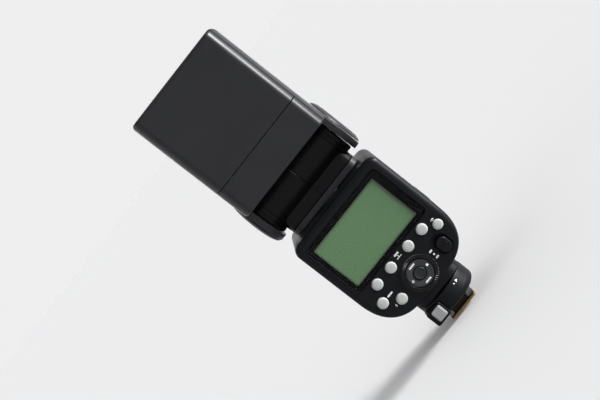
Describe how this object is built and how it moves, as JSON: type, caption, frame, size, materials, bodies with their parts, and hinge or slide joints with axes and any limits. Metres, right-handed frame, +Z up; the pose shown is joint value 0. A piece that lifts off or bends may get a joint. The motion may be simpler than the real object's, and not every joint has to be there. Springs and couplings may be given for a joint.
{
  "type": "speedlight flash",
  "caption": "Hot-shoe speedlight with a tilting, swivelling head, rear display, round keys, dial, battery door and quick-release foot.",
  "frame": {"origin": "centre of the shoe plate's underside, on the tip of the centre contact", "axes": "+Z up from the foot to the head, which is turned straight up at rest; +Y forwards, the way the head points once tilted down; +X right as seen from behind, where the display is"},
  "size_m": [0.072, 0.058, 0.2002],
  "materials": {
    "black_plastic": "satin black moulded plastic with a fine grain",
    "charcoal_plastic": "charcoal moulded plastic, satin",
    "black_gloss": "black plastic with a smooth semi-gloss surface",
    "display_glass": "clear window with a black border behind it",
    "key_grey": "frosted translucent light grey silicone",
    "button_grey": "mid grey plastic",
    "lcd_green": "green liquid crystal panel, unlit",
    "clear_plastic": "clear acrylic with lens grooves",
    "white_plastic": "matt white",
    "red_window": "deep red infrared window",
    "rubber": "black soft rubber",
    "steel": "bare steel",
    "shoe_metal": "stamped steel with a warm, worn edge",
    "mirror_metal": "bright anodised reflector sheet",
    "brass": "plated contact brass",
    "board_green": "glass-epoxy board with green solder mask",
    "capacitor_sleeve": "shrunk plastic sleeve",
    "cell_wrap": "printed shrink wrap, plain"
  },
  "bodies": {
    "root": {"rear_case": "black_plastic", "front_case": "black_plastic", "display_window": "display_glass", "display_module": "lcd_green", "control_board": "board_green", "main_board": "board_green", "main_capacitor": "capacitor_sleeve", "battery_holder": "black_plastic", "battery_contact_plate": "steel", "battery_cell_1": "cell_wrap", "battery_cell_2": "cell_wrap", "battery_cell_3": "cell_wrap", "battery_cell_4": "cell_wrap", "focus_assist_window": "red_window", "sensor_window": "red_window", "sync_socket": "steel", "data_socket": "steel", "foot_base": "black_plastic", "lock_housing": "black_plastic", "shoe_plate": "shoe_metal"},
    "neck": {"neck_left_half": "black_gloss", "neck_right_half": "black_gloss", "neck_base": "charcoal_plastic", "swivel_retainer": "steel"},
    "head": {"head_shell": "black_plastic", "head_rear_cover": "charcoal_plastic", "head_rear_band": "charcoal_plastic", "lens_bezel": "black_gloss", "fresnel_lens": "clear_plastic", "ear_cap_left": "black_plastic", "ear_cap_right": "black_plastic", "tilt_axle": "steel", "zoom_motor": "steel"},
    "bounce_card": {"bounce_card": "white_plastic"},
    "wide_panel": {"wide_panel": "clear_plastic"},
    "zoom_carriage": {"zoom_carriage": "black_plastic", "flash_reflector": "mirror_metal", "flash_tube": "clear_plastic"},
    "lead_screw": {"zoom_lead_screw": "steel"},
    "dial": {"dial_ring": "black_plastic"},
    "pad": {"four_way_pad": "black_plastic"},
    "set_button": {"set_button": "black_plastic"},
    "power_switch": {"power_switch": "black_plastic"},
    "door_runner": {"door_hinge_pin": "steel"},
    "battery_door": {"battery_door": "black_plastic", "door_contact_strip": "steel"},
    "port_cover": {"port_cover": "rubber"},
    "release_button": {"release_button": "button_grey"},
    "lock_pin": {"lock_pin": "steel"},
    "centre_contact": {"centre_contact": "brass"},
    "soft_key_1": {"soft_key_1": "key_grey"},
    "soft_key_2": {"soft_key_2": "key_grey"},
    "soft_key_3": {"soft_key_3": "key_grey"},
    "soft_key_4": {"soft_key_4": "key_grey"},
    "wireless_key": {"wireless_key": "key_grey"},
    "menu_key": {"menu_key": "key_grey"},
    "test_key": {"test_key": "key_grey"},
    "data_contact_left": {"data_contact_left": "brass"},
    "data_contact_right": {"data_contact_right": "brass"},
    "data_contact_rear": {"data_contact_rear": "brass"}
  },
  "joints": [
    {"name": "head_swivel", "type": "hinge", "parent": "root", "child": "neck", "pos_m": [0, 0.006, 0.0935], "axis": [0, 0, 1], "range_deg": [-180, 150]},
    {"name": "head_tilt", "type": "hinge", "parent": "neck", "child": "head", "pos_m": [0, 0.006, 0.116], "axis": [-1, 0, 0], "range_deg": [0, 97]},
    {"name": "bounce_card_slide", "type": "slide", "parent": "head", "child": "bounce_card", "axis": [0, 0, 1], "range_m": [0, 0.038]},
    {"name": "wide_panel_slide", "type": "slide", "parent": "head", "child": "wide_panel", "axis": [0, 0, 1], "range_m": [0, 0.036]},
    {"name": "zoom_slide", "type": "slide", "parent": "head", "child": "zoom_carriage", "axis": [0, 0, 1], "range_m": [0, 0.015]},
    {"name": "lead_screw_turn", "type": "hinge", "parent": "head", "child": "lead_screw", "pos_m": [-0.027, 0.0174, 0.1424], "axis": [0, 0, 1], "range_deg": [0, 1080]},
    {"name": "soft_key_1_press", "type": "slide", "parent": "root", "child": "soft_key_1", "axis": [0, 1, 0], "range_m": [0, 0.0008], "stiffness_N_per_m": 400, "springref_m": -0.0006},
    {"name": "soft_key_2_press", "type": "slide", "parent": "root", "child": "soft_key_2", "axis": [0, 1, 0], "range_m": [0, 0.0008], "stiffness_N_per_m": 400, "springref_m": -0.0006},
    {"name": "soft_key_3_press", "type": "slide", "parent": "root", "child": "soft_key_3", "axis": [0, 1, 0], "range_m": [0, 0.0008], "stiffness_N_per_m": 400, "springref_m": -0.0006},
    {"name": "soft_key_4_press", "type": "slide", "parent": "root", "child": "soft_key_4", "axis": [0, 1, 0], "range_m": [0, 0.0008], "stiffness_N_per_m": 400, "springref_m": -0.0006},
    {"name": "wireless_key_press", "type": "slide", "parent": "root", "child": "wireless_key", "axis": [0, 1, 0], "range_m": [0, 0.0008], "stiffness_N_per_m": 400, "springref_m": -0.0006},
    {"name": "menu_key_press", "type": "slide", "parent": "root", "child": "menu_key", "axis": [0, 1, 0], "range_m": [0, 0.0008], "stiffness_N_per_m": 400, "springref_m": -0.0006},
    {"name": "test_key_press", "type": "slide", "parent": "root", "child": "test_key", "axis": [0, 1, 0], "range_m": [0, 0.0008], "stiffness_N_per_m": 400, "springref_m": -0.0006},
    {"name": "dial_turn", "type": "hinge", "parent": "root", "child": "dial", "pos_m": [0, -0.021, 0.0338], "axis": [0, -1, 0], "continuous": true},
    {"name": "pad_press", "type": "slide", "parent": "root", "child": "pad", "axis": [0, 1, 0], "range_m": [0, 0.0005], "stiffness_N_per_m": 500, "springref_m": -0.0006},
    {"name": "set_press", "type": "slide", "parent": "root", "child": "set_button", "axis": [0, 1, 0], "range_m": [0, 0.0007], "stiffness_N_per_m": 400, "springref_m": -0.0006},
    {"name": "power_slide", "type": "slide", "parent": "root", "child": "power_switch", "axis": [0, 0, 1], "range_m": [0, 0.0022]},
    {"name": "door_slide", "type": "slide", "parent": "root", "child": "door_runner", "axis": [0, -1, 0], "range_m": [0, 0.0034]},
    {"name": "door_swing", "type": "hinge", "parent": "door_runner", "child": "battery_door", "pos_m": [0.0324, 0, 0.0623], "axis": [0, -1, 0], "range_deg": [0, 100]},
    {"name": "port_cover_swing", "type": "hinge", "parent": "root", "child": "port_cover", "pos_m": [-0.0333, 0.024, 0.074], "axis": [0, 0, -1], "range_deg": [0, 110], "stiffness_Nm_per_rad": 0.004, "springref_deg": -2.86},
    {"name": "release_press", "type": "slide", "parent": "root", "child": "release_button", "axis": [0, 1, 0], "range_m": [0, 0.0025], "stiffness_N_per_m": 300, "springref_m": -0.001},
    {"name": "lock_pin_lift", "type": "slide", "parent": "root", "child": "lock_pin", "axis": [0, 0, 1], "range_m": [0, 0.0018]},
    {"name": "centre_contact_press", "type": "slide", "parent": "root", "child": "centre_contact", "axis": [0, 0, 1], "range_m": [0, 0.0006], "stiffness_N_per_m": 600, "springref_m": -0.0006},
    {"name": "data_contact_left_press", "type": "slide", "parent": "root", "child": "data_contact_left", "axis": [0, 0, 1], "range_m": [0, 0.0006], "stiffness_N_per_m": 600, "springref_m": -0.0006},
    {"name": "data_contact_right_press", "type": "slide", "parent": "root", "child": "data_contact_right", "axis": [0, 0, 1], "range_m": [0, 0.0006], "stiffness_N_per_m": 600, "springref_m": -0.0006},
    {"name": "data_contact_rear_press", "type": "slide", "parent": "root", "child": "data_contact_rear", "axis": [0, 0, 1], "range_m": [0, 0.0006], "stiffness_N_per_m": 600, "springref_m": -0.0006}
  ],
  "couplings": [
    {"joint": "lead_screw_turn", "follows": "zoom_slide", "rad_per_m": 1256.6},
    {"joint": "lock_pin_lift", "follows": "release_press", "ratio": 0.72}
  ]
}
